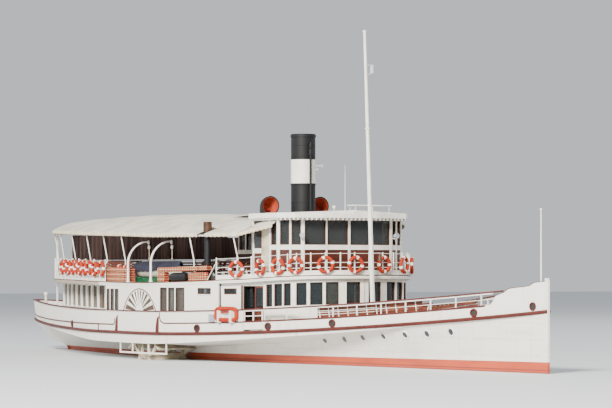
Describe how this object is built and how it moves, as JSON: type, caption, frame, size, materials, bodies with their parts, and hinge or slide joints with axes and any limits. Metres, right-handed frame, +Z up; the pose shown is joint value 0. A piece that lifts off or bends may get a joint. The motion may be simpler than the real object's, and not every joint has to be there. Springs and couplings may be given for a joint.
{
  "type": "one-tenth scale model of a paddle steamer",
  "caption": "Scale model of a white lake passenger steamer afloat, with side paddle wheels in sponsons, glazed saloons, an awning over the promenade deck, wheelhouse, funnel and mast.",
  "frame": {"origin": "amidships, on the centre plane and the waterline", "axes": "+X to the bow, +Y to port, +Z up"},
  "size_m": [4.6588, 1.0154, 1.5023],
  "materials": {
    "black": "satin",
    "brown": "satin",
    "canvas": "woven",
    "cream": "satin",
    "glass": "clear, dark behind",
    "mahogany": "varnished",
    "orange": "matte",
    "red": "matte",
    "steel": "dull",
    "teak": "oiled",
    "white": "satin"
  },
  "bodies": {
    "ship": {"hull": "red", "engine_and_boiler": "steel", "main_deck": "teak", "guard_strake": "brown", "sponson_starboard": "white", "sponson_port": "white", "paddle_box_starboard": "white", "paddle_box_port": "white", "sponson_house_starboard": "white", "sponson_house_port": "white", "upper_deck": "white", "fore_saloon_walls": "white", "fore_saloon_glass": "glass", "aft_saloon_walls": "white", "aft_saloon_glass": "glass", "fore_bulwark": "white", "aft_bulwark": "white", "fore_rail_starboard": "white", "fore_rail_port": "white", "upper_rail_fore": "white", "upper_rail_aft": "white", "wheelhouse_walls": "mahogany", "wheelhouse_glass": "glass", "wheelhouse_roof": "white", "helm_pedestal": "mahogany", "casing_walls": "mahogany", "casing_roof": "white", "funnel": "black", "cowl_starboard": "black", "cowl_port": "black", "stove_pipe": "black", "awning": "canvas", "awning_frame": "white", "mast": "white", "dinghy_starboard": "white", "dinghy_port": "white", "float_aft_starboard": "orange", "float_aft_port": "orange", "float_fore_starboard": "orange", "float_fore_port": "orange", "foredeck_bench": "teak"},
    "paddle": {"paddle_shaft": "steel", "paddle_wheel_starboard": "cream", "paddle_wheel_port": "cream"},
    "rudder": {"rudder": "red"},
    "helm_wheel": {"helm_wheel": "mahogany"},
    "aft_saloon_door": {"aft_saloon_door": "mahogany"},
    "davit_aft_starboard": {"davit_aft_starboard": "white"},
    "davit_aft_port": {"davit_aft_port": "white"},
    "davit_fore_starboard": {"davit_fore_starboard": "white"},
    "davit_fore_port": {"davit_fore_port": "white"},
    "saloon_door_aft_starboard": {"saloon_door_aft_starboard": "mahogany"},
    "saloon_door_aft_port": {"saloon_door_aft_port": "mahogany"},
    "saloon_door_fore_starboard": {"saloon_door_fore_starboard": "mahogany"},
    "saloon_door_fore_port": {"saloon_door_fore_port": "mahogany"},
    "boarding_gate_starboard": {"boarding_gate_starboard": "white"},
    "boarding_gate_port": {"boarding_gate_port": "white"},
    "wheelhouse_door_starboard": {"wheelhouse_door_starboard": "mahogany"},
    "wheelhouse_door_port": {"wheelhouse_door_port": "mahogany"}
  },
  "joints": [
    {"name": "paddle_turn", "type": "hinge", "parent": "ship", "child": "paddle", "pos_m": [-0.09, 0, 0.131], "axis": [0, 1, 0], "continuous": true},
    {"name": "rudder_turn", "type": "hinge", "parent": "ship", "child": "rudder", "pos_m": [-1.892, 0, 0], "axis": [0, 0, 1], "range_deg": [-35, 35]},
    {"name": "helm_turn", "type": "hinge", "parent": "ship", "child": "helm_wheel", "pos_m": [0.752, 0, 0.455], "axis": [1, 0, 0], "range_deg": [-210, 210]},
    {"name": "aft_saloon_door_swing", "type": "hinge", "parent": "ship", "child": "aft_saloon_door", "pos_m": [-1.4795, -0.0395, 0.2305], "axis": [0, 0, 1], "range_deg": [0, 95]},
    {"name": "davit_aft_starboard_swing", "type": "hinge", "parent": "ship", "child": "davit_aft_starboard", "pos_m": [-0.206, -0.497, 0.419], "axis": [0, 0, 1], "range_deg": [0, 150]},
    {"name": "davit_aft_port_swing", "type": "hinge", "parent": "ship", "child": "davit_aft_port", "pos_m": [-0.206, 0.497, 0.419], "axis": [0, 0, 1], "range_deg": [-150, 0]},
    {"name": "davit_fore_starboard_swing", "type": "hinge", "parent": "ship", "child": "davit_fore_starboard", "pos_m": [0.017, -0.497, 0.419], "axis": [0, 0, 1], "range_deg": [-150, 0]},
    {"name": "davit_fore_port_swing", "type": "hinge", "parent": "ship", "child": "davit_fore_port", "pos_m": [0.017, 0.497, 0.419], "axis": [0, 0, 1], "range_deg": [0, 150]},
    {"name": "saloon_door_aft_starboard_swing", "type": "hinge", "parent": "ship", "child": "saloon_door_aft_starboard", "pos_m": [0.56207, -0.33492, 0.23], "axis": [0, 0, 1], "range_deg": [-80, 0]},
    {"name": "saloon_door_aft_port_swing", "type": "hinge", "parent": "ship", "child": "saloon_door_aft_port", "pos_m": [0.56207, 0.33492, 0.23], "axis": [0, 0, 1], "range_deg": [0, 80]},
    {"name": "saloon_door_fore_starboard_swing", "type": "hinge", "parent": "ship", "child": "saloon_door_fore_starboard", "pos_m": [0.69469, -0.30749, 0.23], "axis": [0, 0, 1], "range_deg": [-80, 0]},
    {"name": "saloon_door_fore_port_swing", "type": "hinge", "parent": "ship", "child": "saloon_door_fore_port", "pos_m": [0.69469, 0.30749, 0.23], "axis": [0, 0, 1], "range_deg": [0, 80]},
    {"name": "boarding_gate_starboard_swing", "type": "hinge", "parent": "ship", "child": "boarding_gate_starboard", "pos_m": [0.7645, -0.3572, 0.175], "axis": [0, 0, 1], "range_deg": [0, 90]},
    {"name": "boarding_gate_port_swing", "type": "hinge", "parent": "ship", "child": "boarding_gate_port", "pos_m": [0.7645, 0.3572, 0.175], "axis": [0, 0, 1], "range_deg": [-90, 0]},
    {"name": "wheelhouse_door_starboard_swing", "type": "hinge", "parent": "ship", "child": "wheelhouse_door_starboard", "pos_m": [0.6305, -0.2845, 0.468], "axis": [0, 0, 1], "range_deg": [0, 95]},
    {"name": "wheelhouse_door_port_swing", "type": "hinge", "parent": "ship", "child": "wheelhouse_door_port", "pos_m": [0.6305, 0.2845, 0.468], "axis": [0, 0, 1], "range_deg": [-95, 0]}
  ],
  "couplings": [
    {"joint": "helm_turn", "follows": "rudder_turn", "ratio": 6}
  ]
}
